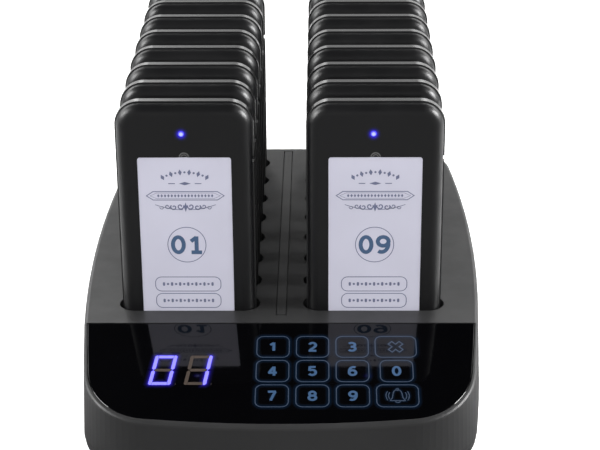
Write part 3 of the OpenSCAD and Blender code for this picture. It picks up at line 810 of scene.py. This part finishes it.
def draw_bell(x, y):
    """A bell with its clapper and its loop, and two sound waves on each side."""
    glowing(bell((x, y)), KEY_LINE, True, NARROW_GLOW)
    glowing(circle(0.85, (x, y - 2.35), 10, 190, 350), KEY_LINE, False, NARROW_GLOW)
    glowing(circle(0.5, (x, y + 3.0), 12), LOOP_LINE, True, NARROW_GLOW)
    spread = 32
    for side, middle in ((-1, 180), (1, 0)):
        for r in (3.1, 4.0):
            wave = circle(r, (x + side * 0.1, y), 10, middle - spread, middle + spread)
            glowing(wave, WAVE_LINE, False, NARROW_GLOW)


def draw_numeral(numeral, place):
    """A lit numeral over its glow, which is a stroke twice as wide."""
    keys.digits(numeral, NUMERAL_H, NUMERAL_W, 2 * NUMERAL_STROKE, place, PRINT + 3 * LAYER,
                GLOW + 1)
    keys.digits(numeral, NUMERAL_H, NUMERAL_W, NUMERAL_STROKE, place, NUMERAL_FACE, KEY)


for y, row in zip(KEY_YS, KEY_LEGENDS):
    for x, legend in zip(KEY_XS, row):
        wide = WIDE_KEY_W if legend in ("cross", "bell") else KEY_W
        glowing(rounded(wide, KEY_H, KEY_R, (x, y)), KEY_LINE, True)
        if legend == "cross":
            glowing(cross((x, y)), CROSS_LINE, True, NARROW_GLOW)
        elif legend == "bell":
            draw_bell(x, y)
        else:
            draw_numeral(legend, (x, y))
keys.lay("key_legends", "base", "key_print", on_slope, KEY_MATS)

# ---- the panel's two seven-segment digits ----

DIGIT_MATS = [DIGIT_LIT, DIGIT_OFF, DOT_OFF, *DIGIT_GLOW]
LIT, UNLIT, DOT, HALO = range(4)     # HALO is the first of its layers
SHOWN = "01"
SEGMENTS = {"0": "abcdef", "1": "bc"}
DIGIT_W, DIGIT_H, DIGIT_PITCH = 8.0, 14.2, 12.7
STROKE, SLANT = 1.28, 1.9
GAP = 0.13                           # half of the gap between two segments
CORNER, BEVEL = 0.5, 0.2             # cut off a digit's corners and a segment's ends
DIGIT_GLOW_WIDTHS = (3.2, 2.2, 1.4, 0.7)
DOT_R, DOT_X, DOT_Y = 0.65, 4.4, -6.7
UNLIT_FACE, LIT_FACE = PRINT + 0.024, PRINT + 0.03


def segment(which):
    """One segment's outline: the upright ones run into the corners."""
    w, h, t = DIGIT_W / 2, DIGIT_H / 2, STROKE
    if which == "g":
        return [(-w + t / 2 + GAP, 0), (-w + t + GAP, t / 2), (w - t - GAP, t / 2),
                (w - t / 2 - GAP, 0), (w - t - GAP, -t / 2), (-w + t + GAP, -t / 2)]
    if which in "ad":
        flat = [(-w + t + GAP - BEVEL, h), (w - t - GAP + BEVEL, h), (w - t - GAP, h - t),
                (-w + t + GAP, h - t)]
        return flat if which == "a" else [(x, -y) for x, y in flat]
    tall = [(w - t + BEVEL, h), (w - CORNER, h), (w, h - CORNER), (w, t / 2 + GAP),
            (w - t / 2, GAP), (w - t, t / 2 + GAP), (w - t, h - t)]
    sx, sy = {"b": (1, 1), "c": (1, -1), "e": (-1, -1), "f": (-1, 1)}[which]
    return [(sx * x, sy * y) for x, y in tall]


digits = Art()
for place, digit in enumerate(SHOWN):
    digit_x = DISPLAY_X + (place - 0.5) * DIGIT_PITCH
    for which in "abcdefg":
        points = [(digit_x + x + SLANT * y / DIGIT_H, DISPLAY_Y + y) for x, y in segment(which)]
        if which in SEGMENTS[digit]:
            for i, width in enumerate(DIGIT_GLOW_WIDTHS):
                digits.line(points, width, PRINT + LAYER * (i + 1), HALO + i, True)
            digits.face(points, LIT_FACE, LIT)
        else:
            digits.face(points, UNLIT_FACE, UNLIT)
    digits.face(circle(DOT_R, (digit_x + DOT_X, DISPLAY_Y + DOT_Y), 16), PRINT, DOT)
digits.lay("display_digits", "base", "display_light", on_slope, DIGIT_MATS)

# ---- studio ----

scene = bpy.context.scene
scene.view_settings.view_transform = "Standard"


def add_floor():
    """White to the camera. All other light meets a floor that is dark in front of the base and
    turns white on both sides of it, from its front corners back. Lengths are in metres."""
    r = 3.0
    mesh = bpy.data.meshes.new("floor")
    mesh.from_pydata([(-r, -r, 0), (r, -r, 0), (r, r, 0), (-r, r, 0)], [], [(0, 1, 2, 3)])
    floor = bpy.data.objects.new("floor", mesh)
    scene.collection.objects.link(floor)
    floor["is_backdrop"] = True
    mat, tree, shader, coords = new_material("floor_paper")
    to_camera = tree.nodes.new("ShaderNodeLightPath").outputs["Is Camera Ray"]
    x, y, _ = axes(tree, coords)
    aside, along = maths(tree, "ABSOLUTE", x), maths(tree, "ABSOLUTE", y)
    beside = maths(tree, "MULTIPLY", remap(tree, y, 0.0, 1.0, -0.13, -0.05),
                   remap(tree, aside, 0.0, 1.0, 0.09, 0.16))
    # the floor as the lamps and gloss see it: dark in front of the base, white beside it
    dark_in_front = mix_colours(tree, beside, (0.2, 0.2, 0.2), (1.0, 1.0, 1.0))
    grain = mix_colours(tree, noise(tree, coords, FLOOR_GRAIN), (0.92, 0.92, 0.92),
                        (0.95, 0.95, 0.95))
    tree.links.new(mix_colours(tree, to_camera, dark_in_front, grain), shader.inputs["Base Color"])
    shader.inputs["Roughness"].default_value = 0.8
    # the lamps fall short of the far floor, so the camera's white rises outwards
    near_white, far_white, near, far = 0.66, 1.0, 0.5, 1.6
    white = remap(tree, maths(tree, "MAXIMUM", aside, along), near_white, far_white, near, far)
    shader.inputs["Emission Color"].default_value = (1.0, 1.0, 1.0, 1.0)
    tree.links.new(maths(tree, "MULTIPLY", to_camera, white), shader.inputs["Emission Strength"])
    mesh.materials.append(mat)


MATT_LEVEL = 0.2                     # the even light on what is matt
FRONT_LEVEL = 0.3                    # what gloss sees on the operator's side
MIDDLE_LEVEL, WING_LEVEL = 0.42, 0.9     # and behind the base, from the middle outwards
BOX_LEVEL = 4.8                      # added to that in a box on each side of the middle
ROOM_LEVEL = 0.006                   # the share of it that is left overhead


def set_world():
    """A pale backdrop with the dark of the room over it, seen by what is glossy; what is
    matt gets an even light. Each pair of numbers after two levels is where a direction's
    part passes from the first level to the second."""
    world = bpy.data.worlds.new("studio")
    scene.world = world
    world.use_nodes = True
    tree = world.node_tree
    background = tree.nodes["Background"]
    background.inputs["Color"].default_value = (1.0, 1.0, 1.0, 1.0)
    rays = tree.nodes.new("ShaderNodeLightPath")
    x, y, z = axes(tree, tree.nodes.new("ShaderNodeTexCoord").outputs["Generated"])
    aside = maths(tree, "ABSOLUTE", x)
    boxes = maths(tree, "MULTIPLY", remap(tree, aside, 0.0, 1.0, 0.08, 0.22),
                  remap(tree, z, 0.0, BOX_LEVEL, 0.28, 0.37))
    wings = remap(tree, aside, MIDDLE_LEVEL, WING_LEVEL, 0.04, 0.42)
    behind = remap(tree, y, 0.0, 1.0, -0.45, 0.25)
    around = mix_values(tree, behind, FRONT_LEVEL, maths(tree, "ADD", wings, boxes))
    height = remap(tree, z, 1.0, ROOM_LEVEL, 0.45, 0.66)
    backdrop = maths(tree, "MULTIPLY", height, around)
    strength = mix_values(tree, rays.outputs["Is Glossy Ray"], MATT_LEVEL, backdrop)
    strength = mix_values(tree, rays.outputs["Is Transmission Ray"], strength, 1.0)
    strength = mix_values(tree, rays.outputs["Is Camera Ray"], strength, 1.0)
    tree.links.new(strength, background.inputs["Strength"])


def add_lamp(name, place, aim, size, power, mirrored=True):
    """A square lamp; one that isn't mirrored lights the base but shows in no gloss."""
    data = bpy.data.lights.new(name, "AREA")
    data.shape = "SQUARE"
    data.size = size
    data.energy = power
    light = bpy.data.objects.new(name, data)
    scene.collection.objects.link(light)
    light.location = place
    light.rotation_mode = "QUATERNION"
    light.rotation_quaternion = (Vector(aim) - Vector(place)).to_track_quat("-Z", "Y")
    light.visible_glossy = mirrored


def add_camera():
    """The camera as solved from the photograph; its angles are in radians."""
    data = bpy.data.cameras.new("camera")
    camera = bpy.data.objects.new("camera", data)
    scene.collection.objects.link(camera)
    scene.camera = camera
    data.lens, data.sensor_width = 108.65, 36.0
    data.clip_start, data.clip_end = 0.05, 50.0
    pitch, yaw, roll = 0.419, 0.0134, -0.0064
    camera.rotation_mode = "QUATERNION"
    camera.location = (0.015208, -0.6562, 0.3474)
    camera.rotation_quaternion = (
        Matrix.Rotation(yaw, 3, "Z") @ Matrix.Rotation(math.radians(90) - pitch, 3, "X")
        @ Matrix.Rotation(roll, 3, "Z")).to_quaternion()


add_floor()
set_world()
add_lamp("left", place=(-0.97, -0.16, 0.66), aim=(0, 0, 0.06), size=0.5, power=10.5)
add_lamp("right", place=(1.02, -0.12, 0.66), aim=(0, 0, 0.06), size=0.45, power=19.5)
add_lamp("front", place=(0.0, -1.6, 0.9), aim=(0, 0, 0.05), size=0.8, power=18.0, mirrored=False)
add_camera()

low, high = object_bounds()
